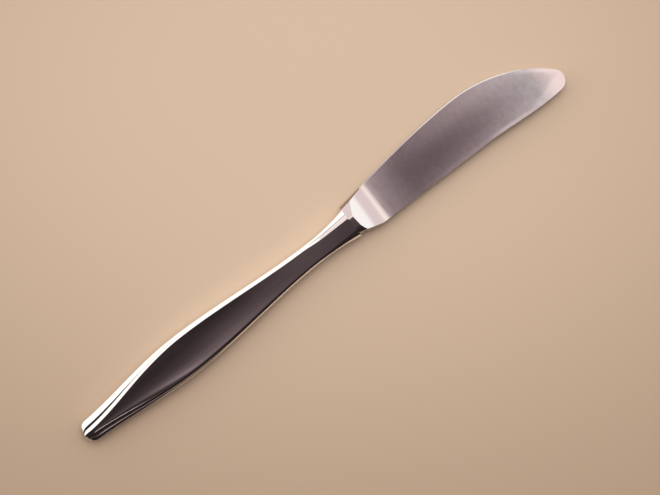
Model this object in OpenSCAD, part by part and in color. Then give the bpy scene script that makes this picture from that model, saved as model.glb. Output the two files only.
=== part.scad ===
// Dessert knife with a hollow handle. The forged blade's tang is cemented into two struck half shells,
// which are soldered together along the seam.
// +X runs from the butt to the blade's tip, +Y towards the cutting edge and +Z up through the front.
// The origin lies on the back panel, under the widest part of the grip.

/* [Handle outline] */
// Length of the handle, from the butt to the mouth
handle_length = 116.5; // [110:0.5:126]
// Widest part of the grip, measured from the butt
belly_from_butt = 43; // [36:0.5:50]
// Narrowest part of the neck, measured from the butt
neck_from_butt = 101; // [94:0.5:106]
// Width of the handle at the butt
butt_width = 7.9; // [7.2:0.1:9.5]
// Width of the handle at the widest part of the grip
belly_width = 14.8; // [13.6:0.1:17]
// Width of the handle at the neck
neck_width = 7.9; // [7.2:0.1:9]
// Width of the handle at the mouth
mouth_width = 11.1; // [10:0.1:12]
// Thickness of the handle, from panel to panel
handle_thickness = 6.8; // [6.2:0.1:8]
// Radius that rounds the butt's end
butt_round = 2.6; // [1.8:0.1:3]
// Width of the butt's flat end as a share of its full section
butt_flat = 0.3; // [0.2:0.05:0.6]

/* [Handle facets] */
// Width of the flat panel at the butt
panel_butt_width = 1.1; // [0.5:0.1:1.5]
// Width of the flat panel at the widest part of the grip
panel_belly_width = 11.7; // [10:0.1:12.2]
// Width of the flat panel at the neck
panel_neck_width = 5.6; // [4.4:0.1:6]
// Width of the flat panel at the mouth
panel_mouth_width = 5.4; // [5:0.1:7.4]
// Place of the crease between the two bevels, as a share of the way from the panel to the side
crease_share = 0.5; // [0.3:0.05:0.7]
// Slope of the bevel between the panel and the crease, from the butt to the neck, in degrees
upper_bevel_angle = 27; // [20:1:32]
// Slope of that bevel at the mouth, in degrees
mouth_bevel_angle = 15; // [10:1:27]
// Slope of the bevel between the crease and the side, in degrees
lower_bevel_angle = 36; // [30:1:42]

/* [Shells] */
// Thickness of the struck sheet
wall = 0.7; // [0.5:0.05:0.9]
// Thickness of the shells' end at the butt
butt_wall = 2.4; // [2:0.1:4]
// Thickness of the solder between the two shells
solder_film = 0.12; // [0.08:0.02:0.2]

/* [Blade outline] */
// Length of the blade, from the handle's mouth to the tip
blade_length = 88.5; // [80:0.5:100]
// Width by which the cutting edge stands out past the handle's mouth, at the heel
heel_step = 1.05; // [0.5:0.05:1.8]
// Angle at which the cutting edge leaves the heel, in degrees
heel_angle = 7.2; // [4:0.1:10]
// Largest reach of the cutting edge from the axis
edge_reach = 11.7; // [10:0.1:13]
// Place of that largest reach, from the mouth
edge_belly = 53; // [46:0.5:58]
// Angle of the nose's round where the cutting edge runs into it, in degrees
nose_edge_angle = 43; // [30:1:55]
// Angle of the nose's round where the spine runs into it, in degrees
nose_spine_angle = -85; // [-95:1:-75]
// Radius of the blade's nose
nose_radius = 3.9; // [3:0.1:4.6]
// Drop of the nose's centre below the axis, towards the spine
nose_drop = 4.9; // [4:0.1:5.6]
// Width by which the bolster lies inside the handle's mouth, on the spine's side
root_step = 0.5; // [0.2:0.05:0.65]
// Start of the spine's shoulder, from the mouth
shoulder_start = 2.5; // [1.5:0.1:4]
// End of the spine's shoulder, from the mouth
shoulder_end = 12; // [10:0.5:15]
// Reach of the spine from the axis at the end of the shoulder
shoulder_reach = 6.8; // [6.2:0.1:7.4]
// Reach of the spine from the axis at the middle of the blade
spine_reach = 7.6; // [6.8:0.1:8.2]

/* [Blade thickness] */
// Thickness of the blade at the spine, beside the bolster
spine_thickness = 1.9; // [1.6:0.1:2.4]
// Thickness of the cutting edge at its largest reach
edge_thickness = 0.5; // [0.4:0.05:0.7]
// Thickness of the blade at the nose
nose_thickness = 1.2; // [1:0.1:1.5]

/* [Bolster] */
// Depth by which the bolster's top lies below the handle's panel
bolster_step = 0.3; // [0.2:0.05:0.6]
// Radius of the bolster's domed faces
bolster_round = 18; // [16:0.5:24]
// Radius of the scoop that thins the bolster to the blade
scoop_radius = 27; // [22:0.5:32]
// End of the scoop, from the mouth
scoop_end = 13; // [11:0.5:16]

/* [Tang] */
// Length of the tang inside the handle
tang_length = 52; // [40:1:64]
// Width of the tang at the bolster
tang_root_width = 4.6; // [4:0.1:5]
// Width of the tang at its end
tang_end_width = 3.2; // [2.8:0.1:3.8]
// Thickness of the tang
tang_thickness = 3; // [2.4:0.1:3.6]
// Number of pairs of notches that key the tang into the cement
notch_pairs = 3; // [1:1:4]
// Radius of a notch
notch_radius = 0.8; // [0.5:0.1:1]

/* [Hidden] */
$fn = 64;

// Rings that the handle's body is lofted through, along the round of the butt and along the rest
round_rings = 4;
body_rings = 44;
// Points along each curve of the blade's outline
curve_points = 20;
// Pull of a curve's end tangents as a share of its run
curve_pull = 0.33;
// Overrun of a cut past the face it opens
over = 1;
// Depth by which the scoop runs below the blade's face, so that the two meet at an angle
scoop_dip = 0.1;

seam_height = handle_thickness / 2;
butt_x = -belly_from_butt;
mouth_x = handle_length - belly_from_butt;
heel_reach = mouth_width / 2 + heel_step;
root_reach = mouth_width / 2 - root_step;
outer_reach = edge_reach + over;

// Runs smoothly from 0 to 1
function ease(t) = t * t * (3 - 2 * t);

function share(s, from, to) = (s - from) / (to - from);

// A size that eases from the butt to the belly and the neck, then flares to the mouth, at s from the butt
function along(s, butt, belly, neck, mouth) =
    s < belly_from_butt ? butt + (belly - butt) * ease(s / belly_from_butt)
    : s < neck_from_butt ? belly + (neck - belly) * ease(share(s, belly_from_butt, neck_from_butt))
    : neck + (mouth - neck) * pow(share(s, neck_from_butt, handle_length), 2);

function side_y(s) = along(s, butt_width, belly_width, neck_width, mouth_width) / 2;
function panel_y(s) = along(s, panel_butt_width, panel_belly_width, panel_neck_width, panel_mouth_width) / 2;
function crease_y(s) = panel_y(s) + crease_share * (side_y(s) - panel_y(s));
function upper_slope(s) =
    let (slope = tan(upper_bevel_angle))
    along(s, slope, slope, slope, tan(mouth_bevel_angle));
function crease_z(s) = seam_height - (crease_y(s) - panel_y(s)) * upper_slope(s);
function shoulder_z(s) = crease_z(s) - (side_y(s) - crease_y(s)) * tan(lower_bevel_angle);

// The handle's section at s from the butt, as [y, z] from its middle, counter-clockwise seen from the tip
function section(s) =
    let (quarter = [
        [side_y(s), shoulder_z(s)],
        [crease_y(s), crease_z(s)],
        [panel_y(s), seam_height]
    ])
    let (half = concat(quarter, [for (i = [2:-1:0]) [-quarter[i][0], quarter[i][1]]]))
    concat(half, [for (p = half) -p]);

// Share of the full section that the rounded butt leaves at s from its end
function rounding(s) =
    s >= butt_round ? 1 : butt_flat + (1 - butt_flat) * sqrt(1 - pow(1 - s / butt_round, 2));

// Left-hand normal of the edge from a to b
function normal(a, b) = [a[1] - b[1], b[0] - a[0]] / norm(b - a);

// A counter-clockwise outline moved inwards by d, square to each of its edges
function inset(outline, d) =
    let (n = len(outline))
    [for (i = [0:n - 1])
        let (m = normal(outline[(i + n - 1) % n], outline[i]), k = normal(outline[i], outline[(i + 1) % n]))
        outline[i] + d * (m + k) / (1 + m * k)];

// A section's ring in space at s from the butt
function ring(outline, s) = [for (p = outline) [butt_x + s, p[0], seam_height + p[1]]];

function body_stations(from) =
    [for (i = [0:body_rings]) from + (handle_length - from) * i / body_rings];

function round_stations() = [for (i = [0:round_rings - 1]) butt_round * (1 - cos(90 * i / round_rings))];

// A solid through rings that have the same number of points, closed at both ends
module loft(rings) {
    n = len(rings[0]);
    last = len(rings) - 1;
    points = [for (r = rings) for (p = r) p];
    near_end = [for (i = [1:n - 2]) [0, i, i + 1]];
    far_end = [for (i = [1:n - 2]) [last * n, last * n + i + 1, last * n + i]];
    sides = [
        for (k = [0:last - 1])
            for (i = [0:n - 1])
                let (a = k * n + i, b = k * n + (i + 1) % n)
                each [[a, a + n, b + n], [a, b + n, b]]
    ];
    polyhedron(points, concat(near_end, far_end, sides), convexity = 4);
}

module handle_body() {
    stations = concat(round_stations(), body_stations(butt_round));
    loft([for (s = stations) ring(rounding(s) * section(s), s)]);
}

// The hollow inside the shells, run past the mouth by a length
module hollow(past) {
    rings = [for (s = body_stations(butt_wall)) ring(inset(rounding(s) * section(s), wall), s)];
    mouth_ring = [for (p = rings[body_rings]) p + [past, 0, 0]];
    loft(past > 0 ? concat(rings, [mouth_ring]) : rings);
}

// A slab as long and wide as the handle, between two heights
module slab(low, high) {
    translate([butt_x - over, -belly_width, low])
        cube([handle_length + 2 * over, 2 * belly_width, high - low]);
}

// The part of the hollow handle's wall that lies between two heights
module handle_wall(low, high) {
    intersection() {
        difference() {
            handle_body();
            hollow(over);
        }
        slab(low, high);
    }
}

// Points of a cubic curve that leaves a and reaches b along two unit directions
function curve(a, leave, b, reach) =
    let (pull = curve_pull * norm(b - a), c = a + pull * leave, d = b - pull * reach)
    [for (i = [0:curve_points])
        let (t = i / curve_points, u = 1 - t)
        u * u * u * a + 3 * u * u * t * c + 3 * u * t * t * d + t * t * t * b];

function direction(angle) = [cos(angle), sin(angle)];

// Points of the blade's outline, from the mouth, seen from the front
nose_centre = [blade_length - nose_radius, -nose_drop];
heel = [0, heel_reach];
edge_top = [edge_belly, edge_reach];
shoulder_size = [shoulder_end - shoulder_start, shoulder_reach - root_reach];
shoulder_tip = [shoulder_end, -shoulder_reach];
spine_middle = [edge_belly, -spine_reach];
spine_run = (spine_middle - shoulder_tip) / norm(spine_middle - shoulder_tip);

function nose(angle) = nose_centre + nose_radius * direction(angle);

function nose_arc() =
    [for (i = [0:curve_points]) nose(nose_edge_angle + (nose_spine_angle - nose_edge_angle) * i / curve_points)];

// The shoulder's quarter ellipse, from the spine back to the bolster
function shoulder_arc() =
    [for (i = [0:curve_points])
        let (angle = 90 * (1 - i / curve_points))
        [shoulder_end - shoulder_size[0] * cos(angle), -root_reach - shoulder_size[1] * sin(angle)]];

// A curve without its last point, which the next stretch of the outline starts with
function open_end(points) = [for (i = [0:len(points) - 2]) points[i]];

function blade_outline() = concat(
    open_end(curve(heel, direction(heel_angle), edge_top, [1, 0])),
    open_end(curve(edge_top, [1, 0], nose(nose_edge_angle), direction(nose_edge_angle - 90))),
    open_end(nose_arc()),
    open_end(curve(nose(nose_spine_angle), direction(nose_spine_angle - 90), spine_middle, -spine_run)),
    shoulder_arc(),
    [[0, -root_reach]]
);

// Half thickness of the blade: a plane through its values at the spine, the edge's belly and the nose
spine_half = spine_thickness / 2;
edge_run = [edge_belly, edge_reach + shoulder_reach];
nose_run = nose_centre + [0, shoulder_reach];
edge_fall = spine_half - edge_thickness / 2;
nose_fall = spine_half - nose_thickness / 2;
taper_turn = edge_run[0] * nose_run[1] - edge_run[1] * nose_run[0];
taper_x = (edge_fall * nose_run[1] - nose_fall * edge_run[1]) / taper_turn;
taper_y = (nose_fall * edge_run[0] - edge_fall * nose_run[0]) / taper_turn;

function half_thickness(x, y) = spine_half - taper_x * x - taper_y * (y + shoulder_reach);

// The space under the blade's front face, which falls to the edge and to the nose
module below_front() {
    nose_slope = atan(taper_x);
    edge_slope = atan(taper_y * cos(nose_slope));
    translate([0, -shoulder_reach, spine_half])
        rotate([-edge_slope, nose_slope, 0])
            translate([-over, -outer_reach, -handle_thickness])
                cube([blade_length + 2 * over, 3 * outer_reach, handle_thickness]);
}

// The blade's wedge of steel, before its outline is cut
module wedge() {
    intersection() {
        below_front();
        mirror([0, 0, 1])
            below_front();
    }
}

// The space under the bolster's domed front face
module below_dome() {
    translate([0, 0, seam_height - bolster_step - bolster_round])
        rotate([0, 90, 0])
            cylinder(r = bolster_round, h = scoop_end, $fn = 128);
}

// The bolster's bar, before its outline is cut, with its domes and the scoop on each face
module bolster_bar() {
    difference() {
        intersection() {
            below_dome();
            mirror([0, 0, 1])
                below_dome();
        }
        scoop();
        mirror([0, 0, 1])
            scoop();
    }
}

// The round cutter that thins the bolster, lying along the slope of the blade's face
module scoop() {
    translate([scoop_end, 0, half_thickness(scoop_end, 0) - scoop_dip])
        rotate([90 - atan(taper_y), 0, 0])
            translate([0, scoop_radius, 0])
                cylinder(r = scoop_radius, h = 4 * outer_reach, center = true, $fn = 128);
}

// The tang, from the mouth into the handle, with its pairs of notches
module tang() {
    notch_step = tang_length / (notch_pairs + 1);
    difference() {
        translate([mouth_x, 0, seam_height - tang_thickness / 2])
            linear_extrude(tang_thickness)
                polygon([
                    [over, -tang_root_width / 2],
                    [over, tang_root_width / 2],
                    [0, tang_root_width / 2],
                    [-tang_length, tang_end_width / 2],
                    [-tang_length, -tang_end_width / 2],
                    [0, -tang_root_width / 2]
                ]);
        for (i = [1:notch_pairs], side = [-1, 1]) {
            half_width = (tang_root_width + (tang_end_width - tang_root_width) * i / (notch_pairs + 1)) / 2;
            translate([mouth_x - i * notch_step, side * (half_width + notch_radius / 2), seam_height])
                cylinder(r = notch_radius, h = tang_thickness + 2 * over, center = true);
        }
    }
}

module blade() {
    color("lightslategray") {
        union() {
            translate([mouth_x, 0, seam_height])
                intersection() {
                    translate([0, 0, -handle_thickness])
                        linear_extrude(2 * handle_thickness)
                            polygon(blade_outline());
                    union() {
                        wedge();
                        bolster_bar();
                    }
                }
            tang();
        }
    }
}

module front_shell() {
    color("silver")
        handle_wall(seam_height + solder_film / 2, handle_thickness + over);
}

module back_shell() {
    color("silver")
        handle_wall(-over, seam_height - solder_film / 2);
}

module seam_solder() {
    color("gainsboro")
        handle_wall(seam_height - solder_film / 2, seam_height + solder_film / 2);
}

module cement_core() {
    color("burlywood")
        difference() {
            hollow(0);
            tang();
        }
}

blade();
front_shell();
back_shell();
seam_solder();
cement_core();
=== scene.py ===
"""Looks of a dessert knife: two polished silver handle shells, a forged steel blade with a scooped bolster,
the solder along the seam, the cement inside the handle, and a plain stage. All sizes are in metres."""

from math import atan, cos, pi, radians, sin, tan

import bmesh
import bpy
from bpy.props import FloatProperty, FloatVectorProperty, IntProperty, PointerProperty
from mathutils import Matrix, Vector


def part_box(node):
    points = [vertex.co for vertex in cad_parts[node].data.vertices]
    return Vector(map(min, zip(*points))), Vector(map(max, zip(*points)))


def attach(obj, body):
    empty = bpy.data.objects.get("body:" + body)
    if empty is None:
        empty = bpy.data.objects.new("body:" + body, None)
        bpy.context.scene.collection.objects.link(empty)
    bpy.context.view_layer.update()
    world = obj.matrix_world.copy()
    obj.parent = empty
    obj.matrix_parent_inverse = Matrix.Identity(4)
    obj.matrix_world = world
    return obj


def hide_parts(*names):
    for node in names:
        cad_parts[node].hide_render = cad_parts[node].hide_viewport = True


bl_info = {
    "name": "Dessert knife",
    "version": (1, 0, 0),
    "blender": (4, 5, 0),
    "location": "View3D > Sidebar > Knife",
    "description": "Models the silver handle, the steel blade and the stage of a dessert knife",
    "category": "Object",
}

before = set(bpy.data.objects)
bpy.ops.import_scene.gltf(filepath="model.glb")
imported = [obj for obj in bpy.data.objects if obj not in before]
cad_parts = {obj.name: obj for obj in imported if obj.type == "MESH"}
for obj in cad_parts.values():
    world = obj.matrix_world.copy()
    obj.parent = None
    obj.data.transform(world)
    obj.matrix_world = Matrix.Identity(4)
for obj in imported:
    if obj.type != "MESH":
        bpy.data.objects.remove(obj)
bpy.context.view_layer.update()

MM = 0.001

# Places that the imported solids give
SHELL_LOW, SHELL_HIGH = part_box("front_shell")
SOLDER_LOW, SOLDER_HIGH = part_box("seam_solder")
BLADE_LOW, BLADE_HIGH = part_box("blade")
BUTT_X = SHELL_LOW.x
MOUTH_X = SHELL_HIGH.x
PANEL_Z = SHELL_HIGH.z
SEAM_Z = (SOLDER_LOW.z + SOLDER_HIGH.z) / 2
HANDLE_LENGTH = MOUTH_X - BUTT_X

# Far end of the cement inside the handle
CORE_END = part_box("cement_core")[1].x

# Rows of points along the handle, round its butt and along the cement inside it, and lanes across its panel
HANDLE_ROWS = 44
BUTT_ROWS = 8
CORE_ROWS = 16
PANEL_LANES = 8
# Power with which the dish deepens as the panel widens
DISH_GROWTH = 1.5
# Places of the points that keep a gutter, a bevel's end and a brim straight, as shares of each
GUTTER_HOLDS = (0.2, 0.8)
BEVEL_HOLD = 0.2
BRIM_HOLDS = (0.3, 0.7)
# Points along each stretch of the blade's outline, round a cutter of the bolster and round one of the tang
OUTLINE_POINTS = 24
SCOOP_POINTS = 1440
NOTCH_POINTS = 32
# Steps of the soft bend between the bolster's flat and its bevels
BEND_STEPS = 8
# Width of the bands that the blade's face is cut into along its length, and of its lanes across
BAND = 1.5 * MM
LANE = 2 * MM
# Bands that the start of the blade's face is cut into besides
TOE_BANDS = 5
# Length over which a turned rim comes and goes
NOSE_EASE = 8 * MM
# Share of the ground strip's fall that it has at the heel
HEEL_GROUND = 0.35
# Shares of the fall round the nose that the rim's rings take, from the outline inwards
RIM_FALLS = (1, 0.7, 0.1, 0)
# Share by which the blade's plate is narrower than the bolster that it starts in
BAR_CLEARANCE = 0.001
# Angles in degrees past which an edge of the shells and of the blade stays sharp
SHELL_SHARP = 70
BLADE_SHARP = 5
# Half the length over which the polish of the bolster turns into satin
SATIN_BLEND = 0.8 * MM
# Upward shares of a face's normal between which the painted highlight of the ground strip ends, and between
# which the painted shade of a flank does
GROUND_HIGHLIGHT_FACING = (0.86, 0.94)
FLANK_SHADE_FACING = (0.4, 0.6)
# Lightest place of the paper's painted light, the distances from it between which painted shade darkens the
# paper, and their stretch
PAPER_LIGHT = (85.9 * MM, 44 * MM)
PAPER_SHADE = (20 * MM, 200 * MM)
PAPER_STRETCH = 1.4
FLOOR_SIZE = 4
# Lean of the lamp towards the picture's top, its distance and its size
LAMP_LEAN = 0.34
LAMP_DISTANCE = 1.1
LAMP_SIZE = 0.8
SENSOR_WIDTH = 36
# Direction of the sky's white card, to the picture's right and top, and the leans between which it brightens
CARD_SIDE = (-0.9, 0.43)
CARD_LEANS = (0.45, 0.75)
# Light of the sky by how far a direction leans towards the picture's top, from -1 to 1
SKY_STEPS = (
    (-1.0, (0.0133, 0.0091, 0.0098)),
    (-0.23, (0.0173, 0.0120, 0.0130)),
    (-0.13, (0.036, 0.0248, 0.0272)),
    (-0.08, (0.051, 0.0354, 0.0385)),
    (-0.03, (0.070, 0.051, 0.055)),
    (0.02, (0.093, 0.067, 0.073)),
    (0.05, (0.153, 0.116, 0.125)),
    (0.075, (0.347, 0.300, 0.311)),
    (0.10, (0.733, 0.647, 0.613)),
    (0.12, (0.827, 0.727, 0.687)),
    (0.16, (0.827, 0.727, 0.687)),
    (0.18, (0.633, 0.527, 0.513)),
    (0.27, (0.633, 0.533, 0.527)),
    (0.305, (0.85, 0.827, 0.805)),
    (1.0, (0.85, 0.827, 0.805)),
)
# Pull of a curve's end tangents as a share of its run, and that of a quarter ellipse
CURVE_PULL = 0.33
QUARTER_PULL = 0.5523
# Points nearer than this are one point
MERGE = 1e-6
# Overrun of a cut past the face it opens
OVER = 1 * MM


def length(name, description, default):
    """A size that a user can change"""
    return FloatProperty(
        name=name, description=description, default=default, unit="LENGTH", subtype="DISTANCE", precision=5
    )


def four(name, description, default, unit="NONE"):
    """A value at the butt, the belly, the neck and the mouth that a user can change"""
    return FloatVectorProperty(
        name=name, description=description, default=default, size=4, unit=unit, precision=5
    )


def angle(name, description, degrees):
    """An angle that a user can change"""
    return FloatProperty(name=name, description=description, default=radians(degrees), subtype="ANGLE")


def share(name, description, default):
    """A share from 0 to 1 that a user can change"""
    return FloatProperty(name=name, description=description, default=default, min=0, max=1, subtype="FACTOR")


def colour(name, description, default):
    """A colour that a user can change"""
    return FloatVectorProperty(
        name=name, description=description, default=default, size=3, min=0, max=1, subtype="COLOR"
    )


class HandleSizes(bpy.types.PropertyGroup):
    """Sizes of the silver handle"""

    neck_from_butt: length("Neck from butt", "Narrowest part of the neck, from the butt", 101 * MM)
    widths: four(
        "Widths",
        "Width of the handle at the butt, the belly, the neck and the mouth",
        (7.9 * MM, SHELL_HIGH.y - SHELL_LOW.y, 7.9 * MM, 11.1 * MM),
        "LENGTH",
    )
    panel_widths: four(
        "Panel widths",
        "Width of the panel at those four places",
        (1.1 * MM, 11.7 * MM, 5.6 * MM, 5 * MM),
        "LENGTH",
    )
    panel_sinks: four(
        "Panel sinks",
        "Depth of the panel's rim below that of the belly, at those places",
        (0.3 * MM, 0, 0.5 * MM, 0.08 * MM),
        "LENGTH",
    )
    edge_creases: four(
        "Edge creases",
        "Place of the crease from panel to side, at those places, on the edge's side",
        (0.25, 0.38, 0.38, 0.4),
    )
    spine_creases: four(
        "Spine creases",
        "Place of the crease from panel to side, at those places, on the spine's side",
        (0.44, 0.52, 0.38, 0.4),
    )
    upper_bevels: four(
        "Upper bevels",
        "Slope of the bevel inside the crease, at those places",
        [radians(slope) for slope in (27, 27, 27, 11)],
        "ROTATION",
    )
    side_bevels: four(
        "Side bevels",
        "Slope of the bevel outside the crease, at those places",
        [radians(slope) for slope in (31, 37, 40, 40)],
        "ROTATION",
    )
    panel_belly: length("Panel belly", "Place of the panel's largest width, from the butt", 46 * MM)
    collar_start: length("Collar start", "Start of the change to the mouth's facets, from the butt", 97 * MM)
    collar_run: length("Collar run", "Length of that change", 9 * MM)
    brim_slope: angle("Brim slope", "Slope of the steep brim outside that bevel", 55)
    edge_brim: share("Edge brim", "Share of the bevel that the brim takes, on the edge's side", 0.08)
    belly_brim: share("Belly brim", "That share on the spine's side, at the belly", 0.45)
    neck_brim: share("Neck brim", "That share on the spine's side, at the neck", 0.95)
    mouth_brim: share("Mouth brim", "That share on the spine's side, at the mouth", 0.5)
    brim_rise_start: length("Brim start", "Start of the brim on the spine's side, from the butt", 16 * MM)
    brim_rise: length("Brim rise", "Length over which that brim grows", 24 * MM)
    brim_start: length("Brim change", "Start of the change to the brim of the neck, from the butt", 50 * MM)
    brim_run: length("Brim change run", "Length of that change", 12 * MM)
    butt_lean: length("Butt lean", "Shift of the facets towards the spine's side, at the butt", 0.85 * MM)
    side_lean: length("Side lean", "Shift of the handle's sides above the seam, at the butt", 0.25 * MM)
    butt_lean_run: length("Butt lean run", "Length over which that shift dies out", 30 * MM)
    mouth_lean: length("Mouth lean", "Shift of the facets towards the spine's side, at the mouth", 0.35 * MM)
    butt_round: length("Butt round", "Length over which the butt's end is rounded", 3.3 * MM)
    butt_flat: share("Butt flat", "Share of the section's width that the butt's flat end keeps", 0.2)
    butt_shift: length("Butt shift", "Shift of that flat end towards the spine's side", 0.6 * MM)
    butt_top: share("Butt top", "Share of the section's height that the butt's flat end keeps", 0.5)
    wall: length("Wall", "Thickness of the struck sheet", 0.45 * MM)
    arris: length("Arris", "Width over which an arris is softened", 0.07 * MM)
    dish: length("Panel dish", "Depth to which the panel is dished at the belly", 0.3 * MM)
    dish_end: length("Dish end", "End of the dish, from the butt", 96 * MM)
    dish_skew: share("Dish skew", "Share by which the dish is deeper towards the spine's side", 0.6)
    skew_start: length("Skew start", "Place where the dish starts to turn even, from the butt", 36 * MM)
    skew_end: length("Skew end", "Place where the dish is even, from the butt", 60 * MM)
    margin: length("Margin", "Largest width of the margin beside the dish, on the spine's side", 0.7 * MM)
    margin_slope: angle("Margin slope", "Fall of that margin", 3)
    margin_rise: length("Margin rise", "Length over which the margin grows from the butt", 24 * MM)
    margin_end: length("Margin end", "End of the margin, from the butt", 46 * MM)
    lip_width: length("Lip width", "Width of the small lip along the panel's rim", 0.12 * MM)
    lip_depth: length("Lip depth", "Depth of the panel below that lip, at the butt", 0.04 * MM)
    lip_run: length("Lip run", "Length over which the lip fades out from the butt", 60 * MM)
    riser_width: length("Riser width", "Width of the small step down at the crease", 0.1 * MM)
    riser_height: length("Riser height", "Height of that step at the butt", 0.24 * MM)
    riser_run: length("Riser run", "Length over which the step fades out from the butt", 72 * MM)
    edge_gutter: length("Edge gutter", "Width of the gutter at the butt, on the edge's side", 0.95 * MM)
    spine_gutter: length("Spine gutter", "Width of the gutter at the butt, on the spine's side", 0.5 * MM)
    gutter_run: length("Gutter run", "Length over which the gutter fades out from the butt", 35 * MM)
    mouth_gutter: length("Mouth gutter", "Width of the gutter at the mouth, on the edge's side", 0.25 * MM)
    gutter_tilt: angle("Gutter tilt", "Slope of the gutter towards the panel", 8.5)
    core_side: length("Cement side", "Distance of the cement from the handle's sides", 1 * MM)
    core_top: length("Cement top", "Distance of the cement from the height of the panel's rim", 1.2 * MM)


class BladeSizes(bpy.types.PropertyGroup):
    """Sizes of the forged blade, its bolster and its tang"""

    heel_reach: length("Heel reach", "Reach of the cutting edge from the axis at the mouth", 6.6 * MM)
    heel_angle: angle("Heel angle", "Angle at which the cutting edge leaves the heel", 7.2)
    edge_belly: length("Edge belly", "Place of the cutting edge's largest reach, from the mouth", 53 * MM)
    nose_edge_angle: angle("Nose edge angle", "Angle of the nose's round where the edge meets it", 43)
    nose_spine_angle: angle("Nose spine angle", "Angle of the nose's round where the spine meets it", -85)
    nose_radius: length("Nose radius", "Radius of the blade's nose", 3.9 * MM)
    nose_drop: length("Nose drop", "Drop of the nose's centre below the axis", 4.9 * MM)
    root_reach: length("Root reach", "Reach of the bolster from the axis, on the spine's side", 5.05 * MM)
    shoulder_start: length("Shoulder start", "Start of the spine's shoulder, from the mouth", 2.5 * MM)
    shoulder_end: length("Shoulder end", "End of the spine's shoulder, from the mouth", 12 * MM)
    shoulder_reach: length("Shoulder reach", "Reach of the spine at the end of the shoulder", 6.8 * MM)
    spine_reach: length("Spine reach", "Reach of the spine at the middle of the blade", 7.6 * MM)
    spine_thickness: length("Spine thickness", "Thickness of the spine beside the bolster", 1.9 * MM)
    edge_thickness: length("Edge thickness", "Thickness at the cutting edge's largest reach", 0.5 * MM)
    nose_thickness: length("Nose thickness", "Thickness of the blade at the nose", 1.5 * MM)
    bolster_step: length("Bolster step", "Depth of the bolster's top below the handle's panel", 0.2 * MM)
    bolster_flat: length("Bolster flat", "Half the width of the bolster's flat top", 2.1 * MM)
    bolster_lean: length("Bolster lean", "Shift of that flat towards the spine's side", 0.35 * MM)
    edge_bevel: angle("Edge bevel", "Slope of the bolster's top beside that flat, on the edge's side", 11.4)
    spine_bevel: angle("Spine bevel", "Slope of the bolster's top beside that flat, on the spine's side", 6.5)
    bolster_bend: length("Bolster bend", "Reach of the soft bend between the flat and a bevel", 0.6 * MM)
    flank_tilt: angle("Flank tilt", "Tilt of the bolster's upper flanks", 20)
    flank_height: length("Flank height", "Height above the seam at which a flank starts", 0.2 * MM)
    root_turn: angle("Root turn", "Angle to the axis of the flank on the spine's side", 14)
    scoop_radius: length("Scoop radius", "Radius of the scoop that thins the bolster", 35.5 * MM)
    scoop_end: length("Scoop end", "Place where the scoop meets the blade's face, from the mouth", 11.4 * MM)
    scoop_slope: angle("Scoop slope", "Slope of the scoop where it meets the blade's face", 4.6)
    toe_slope: angle("Toe slope", "Further slope of the blade's face where the scoop meets it", 1.3)
    toe_run: length("Toe run", "Length over which that further slope dies out", 2.4 * MM)
    blend_slope: angle("Blend slope", "Slope of the blade's face past that easing", 3)
    blend_run: length("Blend run", "Length over which that slope dies out", 14 * MM)
    ground_width: length("Ground width", "Width of the ground strip along the cutting edge", 0.3 * MM)
    ground_drop: length("Ground drop", "Fall of that strip", 0.16 * MM)
    wave_slope: angle("Wave slope", "Slope of the faint wave across the blade's face", 0.85)
    wave_middle: length("Wave middle", "Place of that wave's middle across the blade", 1.2 * MM)
    wave_half: length("Wave half", "Reach of that wave from its middle to its crests", 5.5 * MM)
    wave_fade: share("Wave fade", "Share of that wave that is lost at the tip", 0.7)
    bend_start: length("Bend start", "Start of the face's soft bend to the nose, from the mouth", 38 * MM)
    bend_slope: angle("Bend slope", "Slope of that bend at the tip", 0.6)
    rim_width: length("Rim width", "Width of the turned rim along the spine and round the nose", 1.1 * MM)
    spine_lift: length("Spine lift", "Rise of the rim along the spine, near the nose", 0.035 * MM)
    nose_fall: length("Nose fall", "Fall of the rim round the nose", 0.03 * MM)
    facet_start: length("Facet start", "Place of the nose's facet along the spine, from the mouth", 78 * MM)
    facet_reach: length("Facet reach", "Reach of the facet's upper line from the axis there", 5.8 * MM)
    facet_turn: angle("Facet turn", "Angle of the facet's upper line to the axis", 16.7)
    facet_slope: angle("Facet slope", "Slope of that facet against the blade's face", 1.9)
    facet_hinge: length("Facet hinge", "Width over which the face bends into that facet", 1.4 * MM)
    nose_start: length("Nose rim start", "Start of the turned rim round the nose, from the mouth", 72 * MM)
    tang_root_width: length("Tang root", "Width of the tang at the bolster", 4.6 * MM)
    tang_end_width: length("Tang end", "Width of the tang at its end", 3.2 * MM)
    tang_thickness: length("Tang thickness", "Thickness of the tang", 3 * MM)
    notch_radius: length("Notch radius", "Radius of a notch in the tang", 0.8 * MM)
    notch_pairs: IntProperty(name="Notch pairs", description="Pairs of notches in the tang", default=3)


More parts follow.
